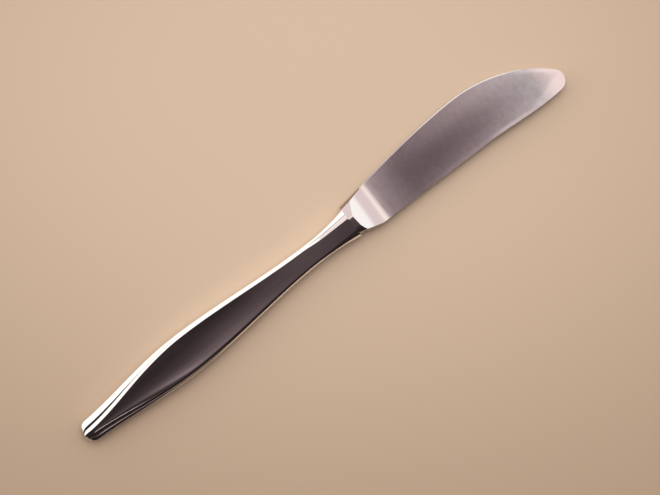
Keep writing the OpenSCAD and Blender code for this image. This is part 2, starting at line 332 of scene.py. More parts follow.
class Finishes(bpy.types.PropertyGroup):
    """Colours and finishes of the knife's metals and filler"""

    silver: colour("Silver", "Colour of the polished silver", (0.93, 0.91, 0.88))
    silver_worn: colour("Worn silver", "Colour of the silver where it is dull", (0.88, 0.85, 0.81))
    steel: colour("Steel", "Colour of the satin steel", (0.51, 0.45, 0.485))
    # Painted sheen: lighter towards the nose, standing in for the brighter reflection there
    steel_nose_sheen: colour("Nose sheen steel", "Colour of the satin steel at the nose", (0.67, 0.69, 0.735))
    # Partly the steel's own darker grain and clouds, partly painted shade on the steep flanks, standing in
    # for the shadowed floor that they mirror
    raw_steel_and_flank_shade: colour("Raw steel and flank shade", "Colour of the steel on its unpolished flanks", (0.40, 0.35, 0.33))
    # Also painted onto the faces tilted like the ground strip, as a highlight along the cutting edge
    polished_steel_and_ground_highlight: colour("Polished steel", "Colour of the polished bolster", (0.74, 0.71, 0.71))
    steel_tip: colour("Tip steel", "Colour of the polished steel at the blade's tip", (0.71, 0.64, 0.65))
    solder: colour("Solder", "Colour of the solder in the seam", (0.74, 0.73, 0.71))
    cement: colour("Cement", "Colour of the filler in the handle", (0.42, 0.33, 0.24))
    silver_gloss: share("Silver roughness", "Roughness of the polished silver", 0.06)
    polish_gloss: share("Bolster roughness", "Roughness of the polished bolster", 0.07)
    satin_gloss: share("Satin roughness", "Roughness of the satin blade", 0.15)


class StageSizes(bpy.types.PropertyGroup):
    """The floor, the light and the camera"""

    # The paper's colours paint its light: lightest near one place, with painted shade towards the picture's
    # foot
    paper: colour("Paper", "Colour of the paper where it is lightest", (0.662, 0.503, 0.371))
    paper_shade: colour("Shaded paper", "Colour of the paper at the picture's foot", (0.439, 0.316, 0.220))
    knife_turn: angle("Knife turn", "Angle of the knife above the picture's lower edge", 38.3)
    lean_to_edge: angle("Lean to edge", "Lean of the camera towards the cutting edge", 4.5)
    lean_to_tip: angle("Lean to tip", "Lean of the camera towards the tip", 0)
    aim_x: length("Aim along", "Place along the knife at the picture's middle", 62.6 * MM)
    aim_y: length("Aim across", "Place across the knife at the picture's middle", -2.1 * MM)
    lens: FloatProperty(name="Lens", description="Focal length of the camera in millimetres", default=95)
    view_width: length("View width", "Width that the picture takes in at the knife", 225.9 * MM)
    sky: FloatProperty(name="Sky", description="Strength of the soft light round the knife", default=1.5)
    lamp: FloatProperty(name="Lamp", description="Power of the large soft lamp in watts", default=6.1)


def ease(t):
    """Runs smoothly from 0 to 1"""
    t = min(max(t, 0), 1)
    return t * t * (3 - 2 * t)


def between(value, low, high):
    """Share of the way from low to high"""
    return (value - low) / (high - low)


# Editing helpers

def clear_selection():
    """Deselects every object, so that a new primitive stands alone"""
    bpy.ops.object.select_all(action="DESELECT")


def only(piece):
    """Selects one object alone and makes it the active one"""
    clear_selection()
    piece.select_set(True)
    bpy.context.view_layer.objects.active = piece


def edit(piece):
    """Opens one object for editing, with nothing else selected"""
    only(piece)
    bpy.ops.object.mode_set(mode="EDIT")
    return piece


def close():
    """Goes back from editing"""
    bpy.ops.object.mode_set(mode="OBJECT")


def pick_all():
    """Selects all of the edited mesh"""
    bpy.ops.mesh.select_all(action="SELECT")


def pick(piece, kind, test):
    """Selects only the points or edges that pass a test"""
    bpy.ops.mesh.select_mode(type=kind)
    bpy.ops.mesh.select_all(action="DESELECT")
    mesh = bmesh.from_edit_mesh(piece.data)
    elements = mesh.verts if kind == "VERT" else mesh.edges
    for element in [element for element in elements if test(element)]:
        element.select_set(True)
    mesh.select_flush_mode()
    bmesh.update_edit_mesh(piece.data)


def move(offset):
    """Moves what is selected"""
    bpy.ops.transform.translate(value=offset)


def stretch(scale, about):
    """Scales what is selected about a point"""
    bpy.ops.transform.resize(value=scale, center_override=about)


def extrude(offset=(0, 0, 0)):
    """Extrudes the selected edges and moves what is new"""
    bpy.ops.mesh.extrude_edges_move(TRANSFORM_OT_translate={"value": offset})


def raise_faces(offset):
    """Extrudes the selected faces and moves what is new"""
    bpy.ops.mesh.extrude_region_move(TRANSFORM_OT_translate={"value": offset})


def join_points():
    """Makes one point of points that meet"""
    pick_all()
    bpy.ops.mesh.remove_doubles(threshold=MERGE)


def face_outwards():
    """Makes all faces of the edited mesh point outwards"""
    pick_all()
    bpy.ops.mesh.normals_make_consistent(inside=False)


def modify(piece, kind, **settings):
    """Adds a modifier with its settings and applies it"""
    only(piece)
    bpy.ops.object.modifier_add(type=kind)
    modifier = piece.modifiers[-1]
    for name, value in settings.items():
        setattr(modifier, name, value)
    bpy.ops.object.modifier_apply(modifier=modifier.name)


def cut(piece, tool, operation):
    """Joins, cuts or keeps what a tool's body shares with a piece, and removes the tool"""
    modify(piece, "BOOLEAN", operation=operation, solver="EXACT", object=tool)
    bpy.data.objects.remove(tool)


def copy_of(piece):
    """A copy of a piece with its own mesh"""
    only(piece)
    bpy.ops.object.duplicate()
    return bpy.context.view_layer.objects.active


def box_between(low, high):
    """A block between two corners"""
    clear_selection()
    bpy.ops.mesh.primitive_cube_add(size=1)
    block = edit(bpy.context.object)
    stretch(high - low, (0, 0, 0))
    move((low + high) / 2)
    close()
    return block


def split(point, normal, **sides):
    """Cuts all of the edited mesh along a plane"""
    pick_all()
    bpy.ops.mesh.bisect(plane_co=point, plane_no=normal, threshold=MERGE, **sides)


def slice_off(piece, point, normal):
    """Cuts away what lies beyond a plane and fills the cut"""
    edit(piece)
    split(point, normal, use_fill=True, clear_outer=True)
    close()


def smooth(piece, degrees):
    """Shades a piece smoothly, save across edges that are sharper than an angle"""
    only(piece)
    bpy.ops.object.shade_smooth_by_angle(angle=radians(degrees))


def finish_piece(piece, name, material, node):
    """Names a piece, gives it its finish and sets it in the frame"""
    piece.name = name
    piece.data.name = name
    piece.data.materials.clear()
    piece.data.materials.append(material)
    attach(piece, "root")
    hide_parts(node)


# Handle

def along(h, s, butt, belly, neck, mouth):
    """A size that eases from the butt to the belly and the neck, then flares to the mouth"""
    belly_s = -BUTT_X
    if s < belly_s:
        return butt + (belly - butt) * ease(s / belly_s)
    if s < h.neck_from_butt:
        return belly + (neck - belly) * ease(between(s, belly_s, h.neck_from_butt))
    return neck + (mouth - neck) * between(s, h.neck_from_butt, HANDLE_LENGTH) ** 2


def side_reach(h, s):
    """Reach of the handle's side from the axis"""
    return along(h, s, *h.widths) / 2


def collar(h, s):
    """Share of the mouth's facets"""
    return ease(between(s, h.collar_start, h.collar_start + h.collar_run))


def faceted(h, s, butt, belly, neck, mouth):
    """A size of the facets, which changes over to the mouth's at the collar"""
    grip = along(h, s, butt, belly, neck, neck)
    return grip + (mouth - grip) * collar(h, s)


def panel_reach(h, s):
    """Half the panel's width, which is largest a little past the handle's belly"""
    if s < h.panel_belly:
        s *= -BUTT_X / h.panel_belly
    elif s < h.neck_from_butt:
        to_neck = h.neck_from_butt - s
        s = h.neck_from_butt - to_neck * (h.neck_from_butt + BUTT_X) / (h.neck_from_butt - h.panel_belly)
    return faceted(h, s, *h.panel_widths) / 2


def crease_place(h, s, side):
    """Share of the way from the panel's rim to the side at which the crease parts the two bevels"""
    return faceted(h, s, *(h.edge_creases if side > 0 else h.spine_creases))


def margin_width(h, s, side):
    """Width of the plain margin between the dish and the panel's rim"""
    if side > 0:
        return 0
    return h.margin * ease(s / h.margin_rise) * (1 - ease(between(s, h.margin_rise, h.margin_end)))


def panel_height(h, s):
    """Height of the panel's rim"""
    return PANEL_Z - along(h, s, *h.panel_sinks)


def dish_depth(h, s):
    """Depth of the panel's dish, which grows with the panel and fades out towards the neck"""
    width_share = 2 * panel_reach(h, s) / h.panel_widths[1]
    return h.dish * width_share ** DISH_GROWTH * (1 - ease(between(s, h.skew_end, h.dish_end)))


def dish_fall(h, s, across):
    """Depth of the dish at a place across the panel, from -1 at the spine's side to 1"""
    skew = h.dish_skew * (1 - ease(between(s, h.skew_start, h.skew_end)))
    return dish_depth(h, s) * (1 - across ** 2) * (1 - skew * across)


def crease_slope(h, s):
    """Fall of the bevel inside the crease"""
    return faceted(h, s, *(tan(slope) for slope in h.upper_bevels))


def side_slope(h, s):
    """Fall of the bevel outside the crease"""
    return along(h, s, *(tan(slope) for slope in h.side_bevels))


def brim_share(h, s, side):
    """Share of the bevel outside the crease that its steep brim takes"""
    if side > 0:
        return h.edge_brim
    grip = h.edge_brim + (h.belly_brim - h.edge_brim) * ease((s - h.brim_rise_start) / h.brim_rise)
    neck = grip + (h.neck_brim - grip) * ease((s - h.brim_start) / h.brim_run)
    return neck + (h.mouth_brim - neck) * collar(h, s)


def facet_lean(h, s):
    """Place of the facets' middle across the handle"""
    return -h.butt_lean * fading(s, h.butt_lean_run) - h.mouth_lean * collar(h, s)


def fading(s, run):
    """Share that is left of a detail which dies out over a run from the butt"""
    return 1 - ease(s / run)


def towards(start, end, distance):
    """The point at a distance from a start on the way to an end"""
    return start + (end - start).normalized() * distance


def half_section(h, s, side):
    """One side of the handle's section, as distances from the axis and heights, from panel to seam"""
    slope = side_slope(h, s)
    butt_gutter, mouth_gutter = (h.edge_gutter, h.mouth_gutter) if side > 0 else (h.spine_gutter, 0)
    gutter = butt_gutter * fading(s, h.gutter_run) + mouth_gutter * collar(h, s)
    riser = h.riser_height * fading(s, h.riser_run)
    reach = side_reach(h, s) - side * h.side_lean * fading(s, h.butt_lean_run)
    margin = margin_width(h, s, side)
    dish_rim = Vector((panel_reach(h, s) + side * facet_lean(h, s), panel_height(h, s)))
    lip = Vector((h.lip_width, h.lip_depth * fading(s, h.lip_run)))
    rim = dish_rim + Vector((margin, -margin * tan(h.margin_slope)))
    lip_foot = rim - lip
    inside = crease_place(h, s, side) * (reach - rim.x)
    crease = rim + Vector((inside, -inside * crease_slope(h, s)))
    riser_foot = crease + Vector((h.riser_width, -riser - h.riser_width * slope))
    gutter_end = riser_foot + Vector((gutter, gutter * tan(h.gutter_tilt)))
    gutter_rim = gutter_end + Vector((h.arris, -h.arris * slope))
    brim = brim_share(h, s, side) * (reach - gutter_rim.x)
    bevel = reach - brim - gutter_rim.x
    bevel_end = gutter_rim + Vector((bevel, -bevel * slope))
    shoulder = bevel_end + Vector((brim, -brim * tan(h.brim_slope)))
    return [
        dish_rim - lip - Vector((2 * h.arris, 0)),
        lip_foot - Vector((h.arris, 0)),
        lip_foot,
        rim,
        towards(rim, crease, h.arris),
        towards(crease, rim, h.arris),
        crease,
        riser_foot,
        *(riser_foot.lerp(gutter_end, place) for place in GUTTER_HOLDS),
        gutter_end,
        gutter_rim,
        bevel_end.lerp(gutter_rim, BEVEL_HOLD),
        bevel_end,
        *(bevel_end.lerp(shoulder, place) for place in BRIM_HOLDS),
        shoulder,
        shoulder - Vector((0, h.arris)),
        Vector((side_reach(h, s), SOLDER_HIGH.z)),
    ]


def handle_rows(h):
    """Distances of the handle's rows from the butt, each with the two sides of its section"""
    run = HANDLE_LENGTH - h.butt_round
    places = [h.butt_round + run * i / HANDLE_ROWS for i in range(HANDLE_ROWS + 1)]
    return {s: {side: half_section(h, s, side) for side in (-1, 1)} for s in places}


def in_row(point, s):
    """Tells whether a point lies in the row at s from the butt"""
    return abs(point.co.x - BUTT_X - s) < MERGE * 10


def panel_strip(h, rows):
    """The panel as a strip of points in rows, each row drawn to its width and dished"""
    clear_selection()
    bpy.ops.mesh.primitive_grid_add(x_subdivisions=HANDLE_ROWS, y_subdivisions=PANEL_LANES, size=2)
    strip = edit(bpy.context.object)
    run = HANDLE_LENGTH - h.butt_round
    stretch((run / 2, 1, 1), (0, 0, 0))
    move((MOUTH_X - run / 2, 0, 0))
    for s, sections in rows.items():
        low, high = (side * sections[side][0].x for side in (-1, 1))
        for lane in range(1, PANEL_LANES):
            across = 2 * lane / PANEL_LANES - 1
            pick(strip, "VERT", lambda point: in_row(point, s) and abs(point.co.y - across) < 1 / PANEL_LANES)
            move((0, 0, -dish_fall(h, s, across)))
        pick(strip, "VERT", lambda point: in_row(point, s))
        stretch((1, (high - low) / 2, 1), (BUTT_X + s, 0, 0))
        move((0, (high + low) / 2, sections[1][0].y))
    return strip


def draw_out(strip, h, rows, side, column):
    """Extrudes one side of the strip and takes each row to a point of its section"""

    def on_side(edge):
        first, last = (point.co for point in edge.verts)
        middle = (first + last) / 2
        outside = side * (middle.y - facet_lean(h, middle.x - BUTT_X)) > 0
        return edge.is_boundary and outside and abs(first.x - last.x) > MERGE

    pick(strip, "EDGE", on_side)
    extrude()
    mesh = bmesh.from_edit_mesh(strip.data)
    mesh.verts.index_update()
    fresh = {point.index for point in mesh.verts if point.select}
    for s, sections in rows.items():
        pick(strip, "VERT", lambda point: point.index in fresh and in_row(point, s))
        step = sections[side][column] - sections[side][column - 1]
        move((0, side * step.x, step.y))


def round_butt(strip, h):
    """Draws the butt's end in to its small flat, row by row, and closes it"""
    x = BUTT_X + h.butt_round
    width, height = 1, 1

    def at_end(edge):
        return edge.is_boundary and all(abs(point.co.x - x) < MERGE for point in edge.verts)

    for i in range(BUTT_ROWS + 1):
        turn = pi / 2 * (1 - (i + 1) / BUTT_ROWS)
        closing = i == BUTT_ROWS
        next_x = BUTT_X if closing else BUTT_X + h.butt_round * (1 - cos(turn))
        next_width = MERGE if closing else h.butt_flat + (1 - h.butt_flat) * sin(turn)
        next_height = MERGE if closing else 1 - (1 - h.butt_top) * cos(turn)
        pick(strip, "EDGE", at_end)
        extrude((next_x - x, 0, 0))
        stretch((1, next_width / width, next_height / height), (next_x, -h.butt_shift, SOLDER_HIGH.z))
        x = next_x
        width, height = next_width, next_height
    bpy.ops.mesh.merge(type="CENTER")


def handle_cage(h):
    """The outside of the front shell, as a coarse cage"""
    rows = handle_rows(h)
    strip = panel_strip(h, rows)
    columns = len(half_section(h, 0, 1))
    for side in (-1, 1):
        for column in range(1, columns):
            draw_out(strip, h, rows, side, column)
    round_butt(strip, h)
    close()
    return strip


def thicken_shell(shell, h):
    """Smooths a cage and gives it its wall, inwards, with the wall's inside kept clear of the butt's end"""
    modify(shell, "SUBSURF", levels=2, render_levels=2, boundary_smooth="PRESERVE_CORNERS")
    outside = len(shell.data.vertices)
    modify(shell, "SOLIDIFY", thickness=h.wall, offset=-1, use_even_offset=False)
    clear_x = BUTT_X + h.wall
    edit(shell)
    pick(shell, "VERT", lambda point: point.index >= outside and point.co.x < clear_x)
    stretch((0, 1, 1), (clear_x, 0, 0))
    close()
    smooth(shell, SHELL_SHARP)


def cement_bar(h):
    """The cement inside the handle as a six-sided bar, drawn out row by row"""
    clear_selection()
    bpy.ops.mesh.primitive_circle_add(vertices=6, radius=1, fill_type="NGON", rotation=(0, pi / 2, 0))
    bpy.ops.object.transform_apply()
    bar = edit(bpy.context.object)
    pick_all()
    step = (CORE_END - BUTT_X - h.butt_round) / CORE_ROWS
    move((BUTT_X + h.butt_round, 0, SEAM_Z))
    width, height = 1, 1
    for i in range(CORE_ROWS + 1):
        s = h.butt_round + i * step
        next_width = side_reach(h, s) - h.core_side
        next_height = (panel_height(h, s) - SEAM_Z - h.core_top) / sin(pi / 3)
        if i > 0:
            raise_faces((step, 0, 0))
        stretch((1, next_width / width, next_height / height), (BUTT_X + s, 0, SEAM_Z))
        width, height = next_width, next_height
    face_outwards()
    close()
    return bar


def solder_ring(shell):
    """The solder between the two rims, sliced from a copy of the front shell"""
    thickness = SOLDER_HIGH.z - SOLDER_LOW.z
    ring = copy_of(shell)
    slice_off(ring, (0, 0, SOLDER_HIGH.z + thickness), (0, 0, 1))
    edit(ring)
    pick_all()
    move((0, 0, -thickness))
    close()
    return ring


def turn_out(shell, upwards):
    """Makes the faces agree, and turns them so that the panel looks away from the seam"""
    edit(shell)
    join_points()
    face_outwards()
    mesh = bmesh.from_edit_mesh(shell.data)
    panel = max(mesh.faces, key=lambda face: upwards * face.calc_center_median().z)
    if panel.normal.z * upwards < 0:
        bpy.ops.mesh.flip_normals()
    close()


# Blade

def heading(turn):
    """Unit direction at an angle in the blade's plane"""
    return Vector((cos(turn), sin(turn)))


def pulled(start, leave, end, reach):
    """A stretch of the outline between two points, with its handles along two directions"""
    pull = CURVE_PULL * (end - start).length
    return start, start + pull * leave, end - pull * reach, end


def straight(start, end):
    """A straight stretch of the outline"""
    return start, start.lerp(end, 1 / 3), start.lerp(end, 2 / 3), end


def arc(centre, radius, first, last):
    """A stretch of the outline along a circle"""
    pull = 4 / 3 * tan((first - last) / 4) * radius
    start = centre + radius * heading(first)
    end = centre + radius * heading(last)
    return start, start + pull * heading(first - pi / 2), end - pull * heading(last - pi / 2), end


def nose_centre(b):
    """Middle of the nose's round, from the mouth"""
    return Vector((BLADE_HIGH.x - MOUTH_X - b.nose_radius, -b.nose_drop))


def outline_stretches(b):
    """The blade's outline from the heel round the nose to the bolster, measured from the mouth"""
    middle_angle = (b.nose_edge_angle + b.nose_spine_angle) / 2
    centre = nose_centre(b)
    heel = Vector((0, b.heel_reach))
    edge_top = Vector((b.edge_belly, BLADE_HIGH.y))
    nose_start = centre + b.nose_radius * heading(b.nose_edge_angle)
    nose_end = centre + b.nose_radius * heading(b.nose_spine_angle)
    spine_middle = Vector((b.edge_belly, -b.spine_reach))
    shoulder_tip = Vector((b.shoulder_end, -b.shoulder_reach))
    corner = Vector((b.shoulder_start, -b.root_reach))
    root = Vector((0, -b.root_reach))
    forward = Vector((1, 0))
    back_run = (shoulder_tip - spine_middle).normalized()
    shoulder_in = Vector((corner.x - shoulder_tip.x, 0)) * QUARTER_PULL
    shoulder_out = Vector((0, shoulder_tip.y - corner.y)) * QUARTER_PULL
    return [
        pulled(heel, heading(b.heel_angle), edge_top, forward),
        pulled(edge_top, forward, nose_start, heading(b.nose_edge_angle - pi / 2)),
        arc(centre, b.nose_radius, b.nose_edge_angle, middle_angle),
        arc(centre, b.nose_radius, middle_angle, b.nose_spine_angle),
        pulled(nose_end, heading(b.nose_spine_angle - pi / 2), spine_middle, back_run),
        straight(spine_middle, shoulder_tip),
        (shoulder_tip, shoulder_tip + shoulder_in, corner + shoulder_out, corner),
        straight(corner, root),
        straight(root, heel),
    ]


def drawn(stretches):
    """Stretches drawn as one closed curve and turned into a mesh"""
    clear_selection()
    bpy.ops.curve.primitive_bezier_curve_add()
    drawing = bpy.context.object
    spline = drawing.data.splines[0]
    spline.bezier_points.add(len(stretches) - len(spline.bezier_points))
    spline.use_cyclic_u = True
    drawing.data.resolution_u = OUTLINE_POINTS
    for i, knot in enumerate(spline.bezier_points):
        knot.handle_left_type = "FREE"
        knot.handle_right_type = "FREE"
        knot.co = stretches[i][0].to_3d()
        knot.handle_right = stretches[i][1].to_3d()
        knot.handle_left = stretches[i - 1][2].to_3d()
    bpy.ops.object.convert(target="MESH")
    return bpy.context.object


def outline_prism(b):
    """The outline raised into a prism, at its place on the knife"""
    prism = edit(drawn(outline_stretches(b)))
    reach = PANEL_Z
    pick_all()
    bpy.ops.mesh.edge_face_add()
    raise_faces((0, 0, 2 * reach))
    face_outwards()
    move((MOUTH_X, 0, SEAM_Z - reach))
    close()
    return prism


def face_slope(b):
    """Falls of the blade's half thickness per metre, towards the tip and towards the cutting edge"""
    spine_half = b.spine_thickness / 2
    edge_run = Vector((b.edge_belly, BLADE_HIGH.y + b.shoulder_reach))
    nose_run = nose_centre(b) + Vector((0, b.shoulder_reach))
    edge_fall = spine_half - b.edge_thickness / 2
    nose_fall = spine_half - b.nose_thickness / 2
    turn = edge_run.x * nose_run.y - edge_run.y * nose_run.x
    to_tip = (edge_fall * nose_run.y - nose_fall * edge_run.y) / turn
    to_edge = (nose_fall * edge_run.x - edge_fall * nose_run.x) / turn
    return to_tip, to_edge


def dying(slope, run, distance):
    """Height that is left of a slope which dies out evenly over a run"""
    left = min(max(run - distance, 0), run)
    return tan(slope) * left * left / (2 * run)


def half_thickness(b, x, y):
    """Half the blade's thickness at a place measured from the mouth, before its rim is turned"""
    to_tip, to_edge = face_slope(b)
    wedge = b.spine_thickness / 2 - to_tip * x - to_edge * (y + b.shoulder_reach)
    toe = dying(b.toe_slope, b.toe_run, x - b.scoop_end)
    blend = dying(b.blend_slope, b.blend_run, x - b.scoop_end)
    across = min((y - b.wave_middle) / b.wave_half, 1)
    clear = ease(between(x, b.scoop_end, b.scoop_end + 2 * b.blend_run))
    past = max(x - b.bend_start, 0)
    run_to_tip = BLADE_HIGH.x - MOUTH_X - b.bend_start
    left = 1 - b.wave_fade * ease(past / run_to_tip)
    wave = tan(b.wave_slope) * b.wave_half * (across - across ** 3 / 3) * clear * left
    bend = tan(b.bend_slope) * past * past / (2 * run_to_tip)
    return wedge + toe + blend + wave - bend


def facet_line(b):
    """A point of the facet's upper line, and the direction square to that line towards the spine"""
    return Vector((b.facet_start, -b.facet_reach)), heading(b.facet_turn - pi / 2)


def facet_lift(b, x, y):
    """Rise of the facet at the nose, below its upper line"""
    start, down = facet_line(b)
    depth = max((Vector((x, y)) - start).dot(down), 0)
    bent = min(depth, b.facet_hinge)
    return tan(b.facet_slope) * (bent * bent / (2 * b.facet_hinge) + depth - bent)


def rim_turn(b, ring, x, y):
    """Rise or fall of one of the rim's rings: along the cutting edge, round the nose and along the spine"""
    nose = ease(between(x, b.nose_start, b.nose_start + NOSE_EASE))
    if y > -b.nose_drop:
        grown = HEEL_GROUND + (1 - HEEL_GROUND) * ease(between(x, b.scoop_end, b.edge_belly))
        ground = b.ground_drop * grown * (1 - nose) if ring == 0 else 0
        fall = b.nose_fall * nose * ease((y + b.nose_drop) / b.nose_radius)
        return -ground - RIM_FALLS[ring] * fall
    lift = b.spine_lift * ease(between(x, b.edge_belly, b.edge_belly + NOSE_EASE)) * (1 - nose)
    return lift if ring < 2 else 0


def rim_rings(b):
    """The outline filled with a face, with rings inset along its rim, each turned up or down"""
    skin = edit(drawn(outline_stretches(b)))
    pick_all()
    bpy.ops.mesh.edge_face_add()
    for width in (b.ground_width, b.rim_width - b.ground_width, b.ground_width):
        bpy.ops.mesh.inset(thickness=width, depth=0)
    mesh = bmesh.from_edit_mesh(skin.data)
    placed = set()
    ring = [point for point in mesh.verts if point.is_boundary]
    for i in range(len(RIM_FALLS)):
        placed.update(ring)
        for point in ring:
            point.co.z = rim_turn(b, i, point.co.x, point.co.y)
        beside = {edge.other_vert(point) for point in ring for edge in point.link_edges}
        ring = beside - placed
    bmesh.update_edit_mesh(skin.data)
    return skin


def blade_plate(b):
    """The blade from inside the bolster to the tip, its face bent as a sheet and mirrored about the seam"""
    skin = rim_rings(b)
    start = b.scoop_end - 2 * OVER
    split((start, 0, 0), (1, 0, 0), clear_inner=True)
    bands = int((BLADE_HIGH.x - MOUTH_X - start) / BAND)
    for i in range(1, bands + 1):
        split((start + i * BAND, 0, 0), (1, 0, 0))
    for i in range(1, TOE_BANDS + 1):
        split((b.scoop_end + b.toe_run * i / TOE_BANDS, 0, 0), (1, 0, 0))
    lanes = int(BLADE_HIGH.y / LANE)
    for i in range(-lanes, lanes + 1):
        split((0, i * LANE, 0), (0, 1, 0))
    corner, down = facet_line(b)
    for depth in (0, b.facet_hinge / 2, b.facet_hinge):
        split((corner + depth * down).to_3d(), down.to_3d())
    mesh = bmesh.from_edit_mesh(skin.data)
    for point in mesh.verts:
        x, y, z = point.co
        point.co.z = z + half_thickness(b, x, y) + facet_lift(b, x, y)
    bmesh.update_edit_mesh(skin.data)
    pick(skin, "EDGE", lambda edge: edge.is_boundary)
    extrude()
    stretch((1, 1, 0), (0, 0, 0))
    pick(skin, "VERT", lambda point: point.co.x < b.scoop_end + OVER / 2)
    stretch((1, 1 - BAR_CLEARANCE, 1), (0, 0, 0))
    close()
    modify(skin, "MIRROR", use_axis=(False, False, True), merge_threshold=MERGE)
    edit(skin)
    join_points()
    face_outwards()
    move((MOUTH_X, 0, SEAM_Z))
    close()
    return skin


def bevelled_bar(b):
    """The bolster's bar with its bevelled top on both faces, and its tilted flanks"""
    top = PANEL_Z - SEAM_Z - b.bolster_step
    low = Vector((MOUTH_X, -BLADE_HIGH.y, SEAM_Z - top))
    high = Vector((MOUTH_X + b.scoop_end + OVER / 2, BLADE_HIGH.y, SEAM_Z + top))
    bar = box_between(low, high)
    flanks = {
        b.heel_reach: heading(b.heel_angle + pi / 2).to_3d() * cos(b.flank_tilt),
        -b.root_reach: heading(-b.root_turn - pi / 2).to_3d() * cos(b.flank_tilt),
    }
    for face in (-1, 1):
        up = Vector((0, 0, face))
        for side, slope in ((-1, b.spine_bevel), (1, b.edge_bevel)):
            corner = Vector((MOUTH_X, side * b.bolster_flat - b.bolster_lean, SEAM_Z + face * top))
            slice_off(bar, corner, Vector((0, side * sin(slope), face * cos(slope))))
        for reach, flank in flanks.items():
            start = Vector((MOUTH_X, reach, SEAM_Z)) + up * b.flank_height
            slice_off(bar, start, flank + up * sin(b.flank_tilt))

    def along_flat(edge):
        first, last = (point.co for point in edge.verts)
        at_flat = abs(abs(first.y + b.bolster_lean) - b.bolster_flat) < MERGE * 10
        return at_flat and abs(first.x - last.x) > OVER

    edit(bar)
    pick(bar, "EDGE", along_flat)
    bpy.ops.mesh.bevel(offset=b.bolster_bend, segments=BEND_STEPS, affect="EDGES")
    close()
    return bar


def scoop(b, face):
    """The round cutter that thins one face of the bolster, lying along the slope of the blade's face"""
    lean = atan(face_slope(b)[1])
    rise = b.scoop_radius * cos(b.scoop_slope)
    centre = Vector((
        MOUTH_X + b.scoop_end + b.scoop_radius * sin(b.scoop_slope),
        rise * sin(lean),
        SEAM_Z + face * (half_thickness(b, b.scoop_end, 0) + rise * cos(lean)),
    ))
    clear_selection()
    bpy.ops.mesh.primitive_cylinder_add(
        vertices=SCOOP_POINTS,
        radius=b.scoop_radius,
        depth=4 * BLADE_HIGH.y,
        location=centre,
        rotation=(face * (pi / 2 - lean), 0, 0),
    )
    return bpy.context.object


def bolster_bar(b):
    """The bolster's bar with the scoop on each face, cut to the outline"""
    bar = bevelled_bar(b)
    for face in (-1, 1):
        cut(bar, scoop(b, face), "DIFFERENCE")
    cut(bar, outline_prism(b), "INTERSECT")
    return bar


def tang(b):
    """The tapered tang with its pairs of notches"""
    end_x = BLADE_LOW.x
    root_half = b.tang_root_width / 2
    low = Vector((end_x, -root_half, SEAM_Z - b.tang_thickness / 2))
    high = Vector((MOUTH_X + OVER / 2, root_half, SEAM_Z + b.tang_thickness / 2))
    bar = edit(box_between(low, high))
    pick(bar, "VERT", lambda point: point.co.x < end_x + OVER)
    stretch((1, b.tang_end_width / b.tang_root_width, 1), (end_x, 0, SEAM_Z))
    close()
    step = (MOUTH_X - end_x) / (b.notch_pairs + 1)
    for i in range(b.notch_pairs):
        way = (i + 1) / (b.notch_pairs + 1)
        half_width = root_half + (b.tang_end_width / 2 - root_half) * way
        for side in (-1, 1):
            clear_selection()
            bpy.ops.mesh.primitive_cylinder_add(
                vertices=NOTCH_POINTS,
                radius=b.notch_radius,
                depth=2 * b.tang_thickness,
                location=(MOUTH_X - (i + 1) * step, side * (half_width + b.notch_radius / 2), SEAM_Z),
            )
            cut(bar, bpy.context.object, "DIFFERENCE")
    return bar


def forged_blade(b):
    """Blade, bolster and tang in one body"""
    body = blade_plate(b)
    cut(body, bolster_bar(b), "UNION")
    cut(body, tang(b), "UNION")
    return body


# Finishes

def new_material(name):
    """An empty node material with its shader"""
    material = bpy.data.materials.new(name)
    material.use_nodes = True
    shader = material.node_tree.nodes["Principled BSDF"]
    return material, shader


def node(owner, kind, **settings):
    """A node of a material or of the sky, with its settings"""
    made = owner.node_tree.nodes.new(kind)
    for name, value in settings.items():
        setattr(made, name, value)
    return made


def link(owner, source, target):
    """A link between two sockets"""
    owner.node_tree.links.new(source, target)


def fill(made, **values):
    """Sets inputs of a node, whose names are written with underscores for spaces"""
    for name, value in values.items():
        made.inputs[name.replace("_", " ")].default_value = value


def stretched_noise(material, scale, stretch_by, detail):
    """Noise on the object's own coordinates, stretched along each axis"""
    place = node(material, "ShaderNodeTexCoord")
    mapping = node(material, "ShaderNodeMapping")
    fill(mapping, Scale=stretch_by)
    noise = node(material, "ShaderNodeTexNoise")
    fill(noise, Scale=scale, Detail=detail)
    link(material, place.outputs["Object"], mapping.inputs["Vector"])
    link(material, mapping.outputs["Vector"], noise.inputs["Vector"])
    return noise.outputs["Fac"]


def spread(owner, value, low, high, from_low=0.3, from_high=0.7):
    """A value mapped to a range"""
    ranged = node(owner, "ShaderNodeMapRange")
    fill(ranged, From_Min=from_low, From_Max=from_high, To_Min=low, To_Max=high)
    link(owner, value, ranged.inputs["Value"])
    return ranged.outputs["Result"]


def mixed(material, factor, first, second):
    """A blend of two colours"""
    mix = node(material, "ShaderNodeMix", data_type="RGBA")
    link(material, factor, mix.inputs["Factor"])
    for socket, value in ((mix.inputs["A"], first), (mix.inputs["B"], second)):
        if hasattr(value, "is_output"):
            link(material, value, socket)
        else:
            socket.default_value = (*value, 1)
    return mix.outputs["Result"]


def bumped(material, shader, height, strength, distance):
    """A fine relief on a shader"""
    bump = node(material, "ShaderNodeBump")
    fill(bump, Strength=strength, Distance=distance)
    link(material, height, bump.inputs["Height"])
    link(material, bump.outputs["Normal"], shader.inputs["Normal"])


